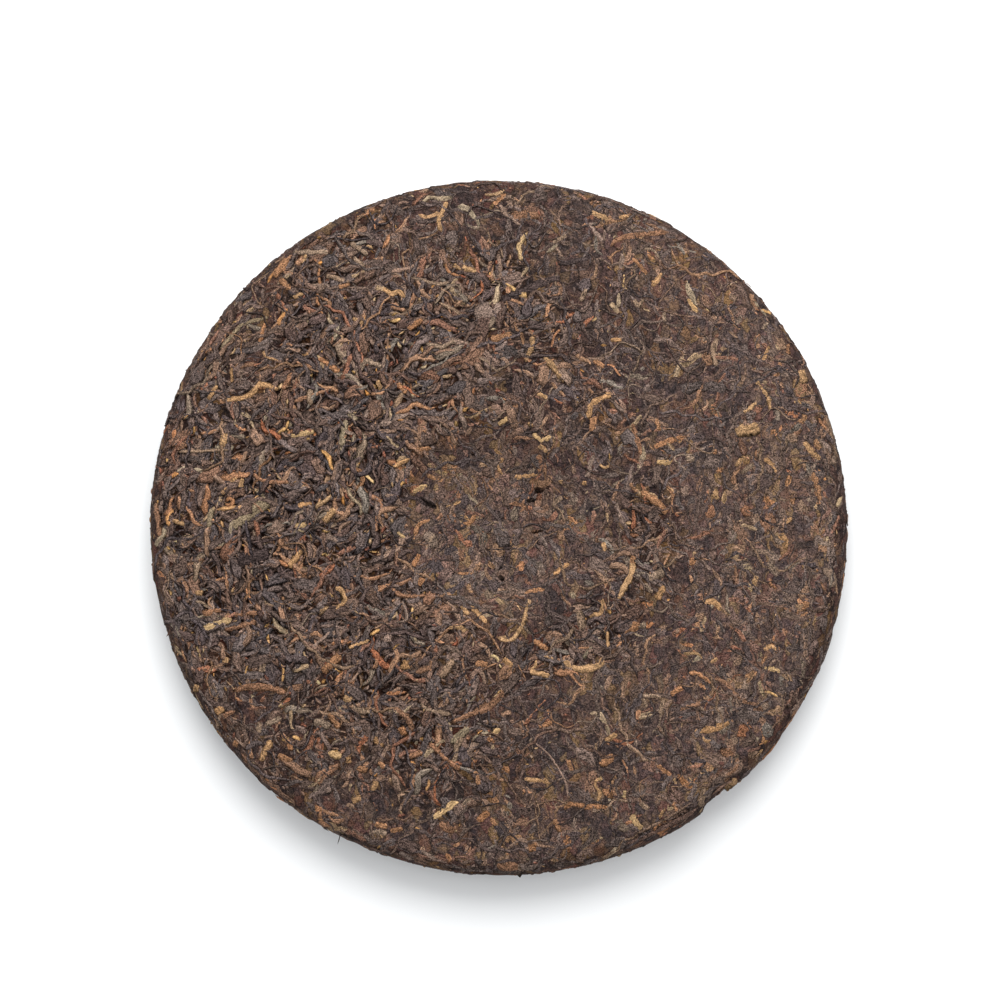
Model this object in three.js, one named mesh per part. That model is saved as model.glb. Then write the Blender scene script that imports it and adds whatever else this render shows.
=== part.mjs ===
import * as THREE from 'three';

// A pressed cake of ripe tea leaves, lying flat with the dimple of the cloth's knot up.
// Millimetres, +Z up, the origin under the middle of the cake on its flat underside.

const { clamp, degToRad, lerp, smoothstep } = THREE.MathUtils;

// Driving sizes of the cake.
const cakeRadius = 100;
const crownHeight = 23.3;    // top of the ring round the dimple
const crownRadius = 42;      // where that ring is highest
const faceRadius = 95.5;     // the pressed face ends here and rolls over into the rim
const faceEdgeHeight = 17.6;
const bellyHeight = 10.2;    // the rim is widest at this level
const footRadius = 62;       // inside this the underside is flat
const dimple = { x: -2, y: 1, floorRadius: 13, mouthRadius: 31, depth: 7 };

// The press leaves the outline a little oval: each wave has a share of the radius and a direction.
const outlineWaves = [
  { lobes: 2, share: 0.0063, degrees: -37 },
  { lobes: 4, share: 0.002, degrees: 43 },
];

// The packed surface sags in wide shallow waves. Its leaves lie flat in the felted dimple and
// near the edge, where they keep only this share of their height.
const sag = { depth: 0.4, size: 42 };
const felt = { share: 0.4, dimpleRadius: 25, edgeRadius: 78, blend: 8 };

// Leaves that stand out of the face, from the largest down, with the share of the count of each.
const faceLeafCount = 460;
const faceLeafKinds = [
  { share: 0.12, length: [18, 28], width: [2.6, 3.4], height: 0.9 },  // stalks
  { share: 0.43, length: [9, 16], width: [3, 5.4], height: 1.1 },     // twisted leaves
  { share: 0.45, length: [7, 12], width: [2.6, 3.6], height: 0.9 },   // buds
];
const faceLeafBend = 0.5;    // how far a leaf's ends swing aside, as a share of its length

// Layers of leaf that run round the rim, spread over its height.
const rimLeafCount = 72;
const rimLeaf = { length: [14, 30], width: [3, 5], height: 0.5, tilt: 0.12 };
const rimArc = 10;           // length of the section from the face's edge to the belly

// At the lower right a layer of leaf has lifted, with its tip clear of the bite beside it.
const liftedLeaf = { from: -70, to: -55, turn: 0.8, width: 7, height: 1.1 };
const bite = { degrees: -50, halfAngle: 5.5, depth: 1.6 };

// Spacing of the mesh over the face and round the rim, and the rows below it.
const facePitch = 2.8;
const rimPitch = 3.5;
const rimRows = 4;
const underRows = 4;
const footCount = 90;
const footInner = { radius: 38, count: 24 };

const goldenAngle = Math.PI * (3 - Math.sqrt(5));

// A small seeded generator gives the same leaves on every run.
function seededPick(seed) {
  let state = seed;
  return ([low, high]) => {
    state += 1;
    return lerp(low, high, (cornerValue(state, seed) + 1) / 2);
  };
}

// One fixed value between -1 and 1 for each corner of a square grid.
function cornerValue(i, j) {
  let h = Math.imul(i, 374761393) + Math.imul(j, 668265263);
  h = Math.imul(h ^ (h >>> 15), 2246822519);
  h = Math.imul(h ^ (h >>> 13), 3266489917);
  return ((h ^ (h >>> 16)) >>> 0) / 2147483648 - 1;
}

// Smooth waves between -1 and 1, with lumps of about the given size.
function waves(x, y, size) {
  const i = Math.floor(x / size);
  const j = Math.floor(y / size);
  const u = smoothstep(x / size - i, 0, 1);
  const v = smoothstep(y / size - j, 0, 1);
  const row = (n) => lerp(cornerValue(i, n), cornerValue(i + 1, n), u);
  return lerp(row(j), row(j + 1), v);
}

// The outline's size in one direction, as a share of the nominal radius.
function outlineShare(angle) {
  return outlineWaves.reduce(
    (share, wave) => share + wave.share * Math.cos(wave.lobes * (angle - degToRad(wave.degrees))),
    1,
  );
}

// Height of the pressed face: a ring that falls away to the edge, with the knot's dimple in it.
function faceHeight(x, y) {
  const radius = Math.hypot(x, y) / outlineShare(Math.atan2(y, x));
  const fall = Math.max(0, radius - crownRadius) / (faceRadius - crownRadius);
  const fromKnot = Math.hypot(x - dimple.x, y - dimple.y);
  const rise = smoothstep(fromKnot, dimple.floorRadius, dimple.mouthRadius);
  return crownHeight - (crownHeight - faceEdgeHeight) * fall * fall - dimple.depth * (1 - rise);
}

// The section beyond the face: two quarter ellipses, from the face's edge to the belly and on to
// the foot. Turn runs from 0 at the edge to 1 at the belly and 2 at the foot.
function rimSection(turn) {
  const upper = turn < 1;
  const angle = (turn - (upper ? 0 : 1)) * Math.PI / 2;
  const reach = cakeRadius - (upper ? faceRadius : footRadius);
  const drop = upper ? faceEdgeHeight - bellyHeight : bellyHeight;
  const out = upper ? Math.sin(angle) : Math.cos(angle);
  const up = upper ? Math.cos(angle) : -Math.sin(angle);
  return {
    radius: cakeRadius - reach * (1 - out),
    height: bellyHeight + drop * up,
    normal: new THREE.Vector2(out / reach, up / drop).normalize(),
  };
}

// How far one leaf stands out at a point: a lens, bent sideways along its length.
function leafHeight(leaf, x, y) {
  const dx = x - leaf.x;
  const dy = y - leaf.y;
  if (Math.abs(dx) > leaf.length || Math.abs(dy) > leaf.length) {
    return 0;
  }
  const along = (dx * leaf.cos + dy * leaf.sin) / (leaf.length / 2);
  const aside = leaf.bend * leaf.length / 2 * along * along;
  const across = (dy * leaf.cos - dx * leaf.sin - aside) / (leaf.width / 2);
  return leaf.height * Math.max(0, 1 - along * along) * Math.max(0, 1 - across * across);
}

function reliefOf(leaves, x, y) {
  return leaves.reduce((most, leaf) => Math.max(most, leafHeight(leaf, x, y)), 0);
}

// Stalks, twisted leaves and buds on the face, largest first, spread by the golden angle.
function makeFaceLeaves() {
  const pick = seededPick(357);
  const leaves = [];
  for (const kind of faceLeafKinds) {
    const count = Math.round(kind.share * faceLeafCount);
    for (let n = 0; n < count; n += 1) {
      const radius = faceRadius * Math.sqrt((n + 0.5) / count);
      const angle = n * goldenAngle + faceLeafKinds.indexOf(kind);
      const heading = pick([0, 2 * Math.PI]);
      leaves.push({
        x: radius * Math.cos(angle),
        y: radius * Math.sin(angle),
        cos: Math.cos(heading),
        sin: Math.sin(heading),
        length: pick(kind.length),
        width: pick(kind.width),
        height: kind.height,
        bend: pick([-faceLeafBend, faceLeafBend]),
      });
    }
  }
  return leaves;
}

// Layers of leaf round the rim, on the unrolled rim: x along the edge and y down the section.
function makeRimLeaves() {
  const pick = seededPick(88);
  const leaves = [];
  for (let n = 0; n < rimLeafCount; n += 1) {
    const tilt = pick([-rimLeaf.tilt, rimLeaf.tilt]);
    leaves.push({
      x: (n * goldenAngle % (2 * Math.PI)) * cakeRadius,
      y: pick([0.2, 1.4]) * rimArc,
      cos: Math.cos(tilt),
      sin: Math.sin(tilt),
      length: pick(rimLeaf.length),
      width: pick(rimLeaf.width),
      height: rimLeaf.height,
      bend: 0,
    });
  }
  return leaves;
}

const faceLeaves = makeFaceLeaves();
const rimLeaves = makeRimLeaves();

// The lifted layer rises evenly to its tip and ends there in a step.
function liftedHeight(degrees, turn) {
  const along = (degrees - liftedLeaf.from) / (liftedLeaf.to - liftedLeaf.from);
  const across = (turn - liftedLeaf.turn) * rimArc / (liftedLeaf.width / 2);
  return along > 0 && along <= 1 ? liftedLeaf.height * along * Math.max(0, 1 - across * across) : 0;
}

function biteDepth(degrees) {
  return bite.depth * (1 - smoothstep(Math.abs(degrees - bite.degrees), 0, bite.halfAngle));
}

// A point of the face, with its leaves and the wide sag of the packed surface.
function onFace(x, y) {
  const radius = Math.hypot(x, y);
  const loose = smoothstep(radius, felt.dimpleRadius - felt.blend, felt.dimpleRadius + felt.blend)
    * (1 - smoothstep(radius, felt.edgeRadius - felt.blend, felt.edgeRadius + felt.blend));
  const leaf = reliefOf(faceLeaves, x, y) * lerp(felt.share, 1, loose);
  return new THREE.Vector3(x, y, faceHeight(x, y) + leaf + sag.depth * waves(x, y, sag.size));
}

// A point of the rim, with its layers, the lifted leaf and the bite. All of them fade out below,
// so that the foot stays flat, and the sag carries on from the face.
function onRim(turn, angle) {
  const section = rimSection(turn);
  const flat = section.radius * outlineShare(angle);
  const degrees = THREE.MathUtils.radToDeg(Math.atan2(Math.sin(angle), Math.cos(angle)));
  const layers = reliefOf(rimLeaves, angle * cakeRadius, turn * rimArc)
    + liftedHeight(degrees, turn)
    - biteDepth(degrees) * Math.sin(clamp(turn, 0, 1) * Math.PI * 0.75)
    + sag.depth * waves(flat * Math.cos(angle), flat * Math.sin(angle), sag.size);
  const out = layers * (1 - smoothstep(turn, 1.2, 1.9));
  const radius = flat + out * section.normal.x;
  return new THREE.Vector3(
    radius * Math.cos(angle),
    radius * Math.sin(angle),
    section.height + out * section.normal.y,
  );
}

// A ring of points, with every other ring turned by half a step.
function ringOf(count, row, place) {
  return Array.from({ length: count }, (_, n) => place((n + (row % 2) / 2) / count * 2 * Math.PI));
}

// Rings from the middle of the face, round the rim and back to the middle below.
function cakeRings() {
  const rings = [[onFace(0, 0)]];
  const faceRows = Math.round(faceRadius / facePitch);
  for (let row = 1; row <= faceRows; row += 1) {
    const radius = faceRadius * row / faceRows;
    const count = Math.round(2 * Math.PI * radius / facePitch);
    rings.push(ringOf(count, row, (angle) => {
      const flat = radius * outlineShare(angle);
      return onFace(flat * Math.cos(angle), flat * Math.sin(angle));
    }));
  }
  const rimCount = Math.round(2 * Math.PI * cakeRadius / rimPitch);
  for (let row = 1; row <= rimRows; row += 1) {
    rings.push(ringOf(rimCount, row, (angle) => onRim(row / rimRows, angle)));
  }
  for (let row = 1; row <= underRows; row += 1) {
    const count = Math.round(lerp(rimCount, footCount, row / underRows));
    rings.push(ringOf(count, row, (angle) => onRim(1 + row / underRows, angle)));
  }
  rings.push(ringOf(footInner.count, 0, (angle) => new THREE.Vector3(
    footInner.radius * Math.cos(angle), footInner.radius * Math.sin(angle), 0)));
  rings.push([new THREE.Vector3(0, 0, 0)]);
  return rings;
}

// One closed geometry from rings of different counts, joined ring to ring by their angles. A ring
// of one point closes the middle.
function zipRings(rings) {
  const starts = rings.map((_, r) => rings.slice(0, r).reduce((sum, ring) => sum + ring.length, 0));
  const indices = [];
  for (let r = 0; r + 1 < rings.length; r += 1) {
    const [inner, outer] = [rings[r].length, rings[r + 1].length];
    const [innerSteps, outerSteps] = [inner, outer].map((count) => (count > 1 ? count : 0));
    let [i, j] = [0, 0];
    while (i < innerSteps || j < outerSteps) {
      const corners = [starts[r] + i % inner, starts[r + 1] + j % outer];
      const outerNext = (j + 0.5) / outer <= (i + 0.5) / inner;
      if (j < outerSteps && (i >= innerSteps || outerNext)) {
        j += 1;
        indices.push(...corners, starts[r + 1] + j % outer);
      } else {
        i += 1;
        indices.push(...corners, starts[r] + i % inner);
      }
    }
  }
  const geometry = new THREE.BufferGeometry().setFromPoints(rings.flat());
  geometry.setIndex(indices);
  return geometry;
}

// The outline's middle comes to lie over the origin, whatever its waves and leaves do.
function centred(geometry) {
  geometry.computeBoundingBox();
  const middle = geometry.boundingBox.getCenter(new THREE.Vector3());
  geometry.translate(-middle.x, -middle.y, -geometry.boundingBox.min.z);
  geometry.computeVertexNormals();
  return geometry;
}

const pressedLeaf = new THREE.MeshStandardMaterial({
  color: '#63504a',
  roughness: 0.85,
  metalness: 0,
  flatShading: true,
});

const teaCake = new THREE.Mesh(centred(zipRings(cakeRings())), pressedLeaf);
teaCake.name = 'tea_cake';

const group = new THREE.Group();
group.add(teaCake);

export default group;
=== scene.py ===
import math
import bpy
import numpy as np
from mathutils import Matrix, Vector


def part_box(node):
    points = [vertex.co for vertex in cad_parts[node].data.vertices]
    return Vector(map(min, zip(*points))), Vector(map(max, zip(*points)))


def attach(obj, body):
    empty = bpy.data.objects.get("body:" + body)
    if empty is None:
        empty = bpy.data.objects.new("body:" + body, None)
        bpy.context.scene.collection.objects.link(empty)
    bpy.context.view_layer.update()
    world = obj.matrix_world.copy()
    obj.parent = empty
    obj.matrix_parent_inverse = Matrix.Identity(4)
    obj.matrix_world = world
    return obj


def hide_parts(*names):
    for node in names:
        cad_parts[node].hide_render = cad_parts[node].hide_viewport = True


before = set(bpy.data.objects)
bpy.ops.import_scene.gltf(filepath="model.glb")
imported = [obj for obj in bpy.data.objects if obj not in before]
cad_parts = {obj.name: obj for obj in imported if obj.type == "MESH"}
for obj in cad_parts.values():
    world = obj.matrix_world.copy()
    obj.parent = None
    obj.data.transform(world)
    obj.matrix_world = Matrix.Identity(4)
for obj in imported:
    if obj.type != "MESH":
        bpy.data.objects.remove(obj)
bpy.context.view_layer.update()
lowCorner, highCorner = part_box("tea_cake")

mm = 0.001
goldenAngle = math.pi * (3 - math.sqrt(5))
lowest = 0.02         # mm: nothing of the cake comes nearer to the floor
pieceLimit = 190000   # triangles in one piece

# the cake's form in mm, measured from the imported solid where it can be
cakeForm = {
    "radius": (highCorner.x - lowCorner.x) / 2 / mm,
    "crownHeight": highCorner.z / mm - 1.2,  # the solid's relief stands this far over the press
    "crownRadius": 42,       # the ring round the dimple is highest here
    "faceRadius": 95.5,      # the face rolls over into the rim here
    "faceEdgeHeight": 17.6,
    "bellyHeight": 10.2,
    "footRadius": 62,        # flat inside this, below
    "outlineWaves": ((2, 0.0063, -37), (4, 0.002, 43)),  # lobes, share of the radius, degrees
    "sagDepth": 0.35,
    "sagSize": 42,
}
bite = {"degrees": -50.8, "halfAngle": 4.2, "depth": 1.5}
dimple = {"x": -2, "y": 1, "floorRadius": 13, "mouthRadius": 31, "depth": 7}

# where the leaf lies felted flat, and where it is loose with dark gaps
packing = {
    "dimpleFelt": (19, 32),    # felted inside the first radius, loose from the second
    "edgeFelt": (64, 90),      # loose up to the first radius, felted outside the second
    "edgeShare": (0.12, 0.6),  # how loose the edge stays on the tight and on the loose side
    "looseHeading": 165,       # degrees: the left is the loosest side
    "tightShare": 0.05,        # how loose the other side is
    "sideFall": 1.2,           # how fast it tightens towards that side
    "patches": (17, 0.45),     # size in mm and strength of the looser and tighter patches
    "ring": (44, 11, 0.5),     # mm from the dimple, half width and looseness of the ring round it
    "rim": 0.35,               # how loose the leaves lie on the rim
    "under": 0.15,             # and on the underside
}

# the dust and torn leaf between the whole leaves, in mm: how far under the pressed surface it lies,
# its grit, how far down the rim's section it goes, and how loose it counts as on the underside, which
# sets its painted gap shade there
core = {"pitch": 0.95, "sink": 1.15, "feltSink": 0.16, "underSink": 0.35, "grit": 0.15, "gritSize": 2,
        "rimReach": 27, "underLoose": 0.2}

# the camera of the photograph
photo = {
    "size": 1000,
    "cakeWidth": 700,            # pixels across the cake
    "cakeMiddle": (496.6, 525.6),
    "distance": 1050,            # mm
    "tilt": 6.5,                 # degrees off square, so that the lower right rim shows
    "tiltHeading": -52,
    "sensor": 36,
    "leafWidth": 1.3,            # a leaf's edges are sunk, so it's made wider than it shows
}
pixel = 2 * cakeForm["radius"] / photo["cakeWidth"]  # mm


def smoothStep(value, low, high):
    share = np.clip((value - low) / (high - low), 0, 1)
    return share * share * (3 - 2 * share)


def mix(a, b, share):
    return a + (b - a) * share


def cornerValue(i, j, seed):
    h = (i * 374761393 + j * 668265263 + seed * 974711) & 0xFFFFFFFF
    h = ((h ^ (h >> 15)) * 2246822519) & 0xFFFFFFFF
    h = ((h ^ (h >> 13)) * 3266489917) & 0xFFFFFFFF
    return ((h ^ (h >> 16)) & 0xFFFFFFFF) / 2147483648 - 1


# smooth waves between -1 and 1 with lumps of the given size in mm
def waves(x, y, size, seed=0):
    i, j = np.floor(x / size).astype(np.int64), np.floor(y / size).astype(np.int64)
    u, v = smoothStep(x / size - i, 0, 1), smoothStep(y / size - j, 0, 1)
    low = mix(cornerValue(i, j, seed), cornerValue(i + 1, j, seed), u)
    high = mix(cornerValue(i, j + 1, seed), cornerValue(i + 1, j + 1, seed), u)
    return mix(low, high, v)


# the outline against a true circle: a slight oval, and the bite where a flake broke out
def outlineShare(angle):
    share = np.ones_like(angle)
    for lobes, part, degrees in cakeForm["outlineWaves"]:
        share = share + part * np.cos(lobes * (angle - math.radians(degrees)))
    away = np.abs((np.degrees(angle) - bite["degrees"] + 180) % 360 - 180)
    bitten = 1 - smoothStep(away / bite["halfAngle"], 0.5, 1)
    return share - bite["depth"] / cakeForm["radius"] * bitten


def nominalRadius(x, y):
    return np.hypot(x, y) / outlineShare(np.arctan2(y, x))


def knotDistance(x, y):
    return np.hypot(x - dimple["x"], y - dimple["y"])


# how loose the leaf lies, from 0 in the felted patches to 1
def looseness(x, y):
    radius = knotDistance(x, y)
    ring = smoothStep(radius, *packing["dimpleFelt"])
    turn = np.arctan2(y, x) - math.radians(packing["looseHeading"])
    side = mix(packing["tightShare"], 1, (0.5 + 0.5 * np.cos(turn)) ** packing["sideFall"])
    edge = mix(1, mix(*packing["edgeShare"], side), smoothStep(np.hypot(x, y), *packing["edgeFelt"]))
    middle, half, share = packing["ring"]
    side = np.maximum(side, share * np.exp(-((radius - middle) / half) ** 2))
    size, strength = packing["patches"]
    patches = np.clip(1 + strength * waves(x, y, size, 5), 0, 1.3)
    return np.clip(ring * edge * side * patches, 0, 1)


def coreSink(loose):
    return mix(core["feltSink"], core["sink"], loose ** 1.6)


# the face without its dimple: level inside the crown's ring, and falling towards the edge outside it
def crownedHeight(radius):
    form = cakeForm
    fall = np.maximum(0, np.minimum(radius, form["faceRadius"]) - form["crownRadius"])
    fall = fall / (form["faceRadius"] - form["crownRadius"])
    return form["crownHeight"] - (form["crownHeight"] - form["faceEdgeHeight"]) * fall ** 2


def faceHeight(x, y):
    form = cakeForm
    radius = nominalRadius(x, y)
    pressed = 1 - smoothStep(knotDistance(x, y), dimple["floorRadius"], dimple["mouthRadius"])
    height = crownedHeight(radius) - dimple["depth"] * pressed
    over = np.clip((radius - form["faceRadius"]) / (form["radius"] - form["faceRadius"]), 0, 0.98)
    height = height - (form["faceEdgeHeight"] - form["bellyHeight"]) * (1 - np.sqrt(1 - over ** 2))
    return height + form["sagDepth"] * waves(x, y, form["sagSize"])


def underHeight(x, y):
    form = cakeForm
    over = (nominalRadius(x, y) - form["footRadius"]) / (form["radius"] - form["footRadius"])
    return form["bellyHeight"] * (1 - np.sqrt(1 - np.clip(over, 0, 0.98) ** 2))


# the section from the face's outer part round the rim to the foot, by its length from the face's edge
def rimSection():
    form = cakeForm
    faceRadii = np.linspace(form["faceRadius"] - 12, form["faceRadius"], 24, endpoint=False)
    upper = np.linspace(0, math.pi / 2, 40, endpoint=False)
    lower = np.linspace(0, math.pi / 2, 80)
    radius = np.concatenate((
        faceRadii,
        form["faceRadius"] + (form["radius"] - form["faceRadius"]) * np.sin(upper),
        form["footRadius"] + (form["radius"] - form["footRadius"]) * np.cos(lower)))
    height = np.concatenate((
        crownedHeight(faceRadii),
        form["bellyHeight"] + (form["faceEdgeHeight"] - form["bellyHeight"]) * np.cos(upper),
        form["bellyHeight"] * (1 - np.sin(lower))))
    length = np.concatenate(([0], np.cumsum(np.hypot(np.diff(radius), np.diff(height)))))
    length = length - length[len(faceRadii)]
    slopeR, slopeZ = np.gradient(radius, length), np.gradient(height, length)
    norm = np.hypot(slopeR, slopeZ)
    return length, radius, height, -slopeZ / norm, slopeR / norm


section = rimSection()


# each place function takes two surface coordinates in mm and how far out, and gives the point
def placeOnFace(x, y, out):
    return np.stack((x, y, faceHeight(x, y) + out), -1)


def placeUnder(x, y, out):
    return np.stack((x, y, np.maximum(underHeight(x, y) - out, lowest)), -1)


def placeOnRim(along, down, out):
    length, radius, height, outward, upward = section
    angle = along / cakeForm["radius"]
    flat = np.interp(down, length, radius) * outlineShare(angle)
    sag = cakeForm["sagDepth"] * waves(flat * np.cos(angle), flat * np.sin(angle), cakeForm["sagSize"])
    out = out + sag * (1 - smoothStep(down, 4, 20))
    reach = flat + out * np.interp(down, length, outward)
    rise = np.interp(down, length, height) + out * np.interp(down, length, upward)
    return np.stack((reach * np.cos(angle), reach * np.sin(angle), np.maximum(rise, lowest)), -1)


def linearColour(hexColour):
    channels = [int(hexColour[i:i + 2], 16) / 255 for i in (1, 3, 5)]
    return [c / 12.92 if c <= 0.04045 else ((c + 0.055) / 1.055) ** 2.4 for c in channels]


# a node with its settings and links; inputs are a dictionary by name, or a row in the node's order
def addNode(tree, kind, inputs=(), **settings):
    node = tree.nodes.new(kind)
    for name, value in settings.items():
        setattr(node, name, value)
    named = inputs if isinstance(inputs, dict) else dict(enumerate(inputs))
    for name, value in named.items():
        if isinstance(value, bpy.types.NodeSocket):
            tree.links.new(value, node.inputs[name])
        else:
            node.inputs[name].default_value = value
    return node


def newMaterial(name):
    material = bpy.data.materials.new(name)
    material.use_nodes = True
    material.node_tree.nodes.clear()
    return material


# the matt surface of both materials, with relief from height and roughness varied by grit
def addSurface(tree, finish, colour, height, grit):
    bump = addNode(tree, "ShaderNodeBump", {
        "Height": height, "Distance": finish["wrinkleDepth"] * mm, "Strength": 1.0}).outputs[0]
    roughness = addNode(tree, "ShaderNodeMapRange", (
        grit, 0.3, 0.7, finish["roughness"] - 0.1, finish["roughness"] + 0.1)).outputs[0]
    shader = addNode(tree, "ShaderNodeBsdfPrincipled", {
        "Base Color": colour, "Roughness": roughness, "Normal": bump, "IOR": finish["ior"],
        "Specular IOR Level": finish["specular"]}).outputs[0]
    addNode(tree, "ShaderNodeOutputMaterial", {"Surface": shader})


# fermented tea leaf, rolled, steamed and pressed: matt, with fibres along each leaf that are drawn
# about twice as wide as the real ones so that they show, and specks of leaf dust on it, fewest on
# the pale buds
def rolledLeafMaterial(finish):
    material = newMaterial("rolled_tea_leaf_steamed_and_pressed")
    tree = material.node_tree
    tint = addNode(tree, "ShaderNodeAttribute", attribute_name="leafTintAndShade")
    grain = addNode(tree, "ShaderNodeAttribute", attribute_name="leafGrain").outputs["Vector"]
    along, across = 1 / finish["fibreLength"], 1 / finish["fibreSpacing"]
    stretched = addNode(tree, "ShaderNodeVectorMath", (grain, (along, across, 1)),
                        operation="MULTIPLY").outputs[0]
    fibres = addNode(tree, "ShaderNodeTexNoise", {
        "Vector": stretched, "Scale": 1, "Detail": 2, "Roughness": 0.6}).outputs["Fac"]
    fibreShade = addNode(tree, "ShaderNodeMapRange", (
        fibres, 0.35, 0.65, 1 - finish["fibreContrast"], 1 + finish["fibreContrast"])).outputs[0]
    place = addNode(tree, "ShaderNodeTexCoord").outputs["Object"]
    specks = addNode(tree, "ShaderNodeTexNoise", {
        "Vector": place, "Scale": 1 / (finish["speckSize"] * mm), "Detail": 3,
        "Roughness": 0.75}).outputs["Fac"]
    dusty = addNode(tree, "ShaderNodeMapRange", (
        tint.outputs["Fac"], 0.07, 0.24, *finish["speckContrast"])).outputs[0]
    speckSwing = addNode(tree, "ShaderNodeMapRange", (specks, 0.4, 0.6, -1, 1)).outputs[0]
    speckShade = addNode(tree, "ShaderNodeMath", (speckSwing, dusty, 1),
                         operation="MULTIPLY_ADD").outputs[0]
    shade = addNode(tree, "ShaderNodeMath", (fibreShade, speckShade), operation="MULTIPLY").outputs[0]
    # the vertex colour holds painted shade on each leaf's edges and painted light on its back
    colour = addNode(tree, "ShaderNodeHueSaturation", {
        "Color": tint.outputs["Color"], "Value": shade}).outputs[0]
    height = addNode(tree, "ShaderNodeMath", (fibres, specks), operation="ADD").outputs[0]
    addSurface(tree, finish, colour, height, specks)
    return material


# broken leaf and dust felted together by the steam: a flush mosaic of browns with slate, golden and
# reddish flakes, a fine speckle over it, and hair cracks where two flakes meet
def feltedDustMaterial(finish):
    material = newMaterial("felted_tea_dust_and_broken_leaf")
    tree = material.node_tree
    shown = addNode(tree, "ShaderNodeAttribute", attribute_name="leafTintAndShade").outputs["Color"]
    place = addNode(tree, "ShaderNodeTexCoord").outputs["Object"]
    swirls = addNode(tree, "ShaderNodeTexNoise", {
        "Vector": place, "Scale": 1 / (finish["swirlSize"] * mm), "Detail": 3, "Roughness": 0.6,
        "Distortion": 1.2}).outputs["Fac"]
    slate = addNode(tree, "ShaderNodeTexNoise", {
        "Vector": place, "Scale": 1 / (finish["patchSize"] * mm), "Detail": 3, "Roughness": 0.6,
        "Distortion": 1.4}).outputs["Fac"]
    dust = addNode(tree, "ShaderNodeTexNoise", {
        "Vector": place, "Scale": 1 / (finish["dustSize"] * mm), "Detail": 2,
        "Roughness": 0.8}).outputs["Fac"]
    # the flakes are cells drawn out along one way, which a wide noise then bends every way
    bent = addNode(tree, "ShaderNodeTexNoise", {
        "Vector": place, "Scale": 1 / (2.5 * finish["flakeSize"] * mm), "Detail": 2}).outputs["Color"]
    swing = (finish["flakeSize"] * finish["flakeBend"] * mm,) * 3
    warped = addNode(tree, "ShaderNodeVectorMath", (bent, swing, place),
                     operation="MULTIPLY_ADD").outputs[0]
    drawn = addNode(tree, "ShaderNodeVectorMath", (warped, (1, 0.5, 1)),
                    operation="MULTIPLY").outputs[0]
    flakeScale = 1 / (finish["flakeSize"] * mm)
    cells = {"Vector": drawn, "Scale": flakeScale}
    edges = addNode(tree, "ShaderNodeTexVoronoi", cells, feature="DISTANCE_TO_EDGE").outputs["Distance"]
    flake = addNode(tree, "ShaderNodeTexVoronoi", cells).outputs["Color"]
    pick = addNode(tree, "ShaderNodeSeparateColor", {"Color": flake})
    flakeShade = addNode(tree, "ShaderNodeMapRange", (
        pick.outputs[0], 0, 1, -finish["flakeContrast"], finish["flakeContrast"])).outputs[0]
    brownShare = addNode(tree, "ShaderNodeMath", (swirls, flakeShade), operation="ADD").outputs[0]
    brown = addNode(tree, "ShaderNodeValToRGB", {"Fac": brownShare})
    ramp = brown.color_ramp
    stops = finish["browns"]
    while len(ramp.elements) < len(stops):
        ramp.elements.new(0.5)
    for element, (position, colour) in zip(ramp.elements, stops):
        element.position = position
        element.color = (*linearColour(colour), 1)
    colour = brown.outputs[0]
    for source, patch in ((slate, "slate"), (pick.outputs[1], "gold"), (pick.outputs[2], "red")):
        low, high, most, patchColour = finish[patch]
        share = addNode(tree, "ShaderNodeMapRange", (source, low, high, 0, most)).outputs[0]
        colour = addNode(tree, "ShaderNodeMix", {
            0: share, 6: colour, 7: (*linearColour(patchColour), 1)}, data_type="RGBA").outputs[2]
    # painted shade: the dust's colour darkened by the vertex colour in the gaps
    shadedInGaps = addNode(tree, "ShaderNodeMix", {0: 1.0, 6: colour, 7: shown},
                     data_type="RGBA", blend_type="MULTIPLY").outputs[2]
    crack = addNode(tree, "ShaderNodeMapRange", (edges, 0.01, 0.12, finish["crackShade"], 1)).outputs[0]
    speckle = addNode(tree, "ShaderNodeMapRange", (
        dust, 0.4, 0.6, 1 - finish["dustContrast"], 1 + finish["dustContrast"])).outputs[0]
    shade = addNode(tree, "ShaderNodeMath", (crack, speckle), operation="MULTIPLY").outputs[0]
    turn = addNode(tree, "ShaderNodeMapRange", (pick.outputs[1], 0, 1, *finish["hueSwing"])).outputs[0]
    depth = addNode(tree, "ShaderNodeMapRange", (slate, 0.35, 0.65, *finish["richness"])).outputs[0]
    tinted = addNode(tree, "ShaderNodeHueSaturation", {
        "Hue": turn, "Saturation": depth, "Value": shade, "Color": shadedInGaps}).outputs[0]
    relief = addNode(tree, "ShaderNodeMath", (swirls, dust), operation="ADD").outputs[0]
    height = addNode(tree, "ShaderNodeMath", (crack, 0.6, relief), operation="MULTIPLY_ADD").outputs[0]
    addSurface(tree, finish, tinted, height, dust)
    return material


def meshFromArrays(name, vertices, corners, sizes):
    mesh = bpy.data.meshes.new(name)
    mesh.vertices.add(len(vertices))
    mesh.vertices.foreach_set("co", (vertices * mm).astype(np.float32).ravel())
    mesh.loops.add(corners.size)
    mesh.loops.foreach_set("vertex_index", corners.astype(np.int32).ravel())
    mesh.polygons.add(len(sizes))
    starts = np.concatenate(([0], np.cumsum(sizes)[:-1]))
    mesh.polygons.foreach_set("loop_start", starts.astype(np.int32))
    mesh.polygons.foreach_set("use_smooth", np.ones(len(sizes), bool))
    mesh.update(calc_edges=True)
    return mesh


# a colour for each vertex, which the materials read: the leaves' own colour with painted shade and light,
# and the painted shade of the core's gaps
def addTintAndShade(mesh, colours):
    tint = np.ones((len(mesh.vertices), 4), np.float32)
    tint[:, :3] = colours
    mesh.attributes.new("leafTintAndShade", "FLOAT_COLOR", "POINT").data.foreach_set("color", tint.ravel())


# painted shade on a leaf's edges and painted light on its back, where it lies felted and where it's loose
paintedLeafShading = {"edge": (0.82, 0.5), "back": (1.08, 1.17)}


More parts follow.
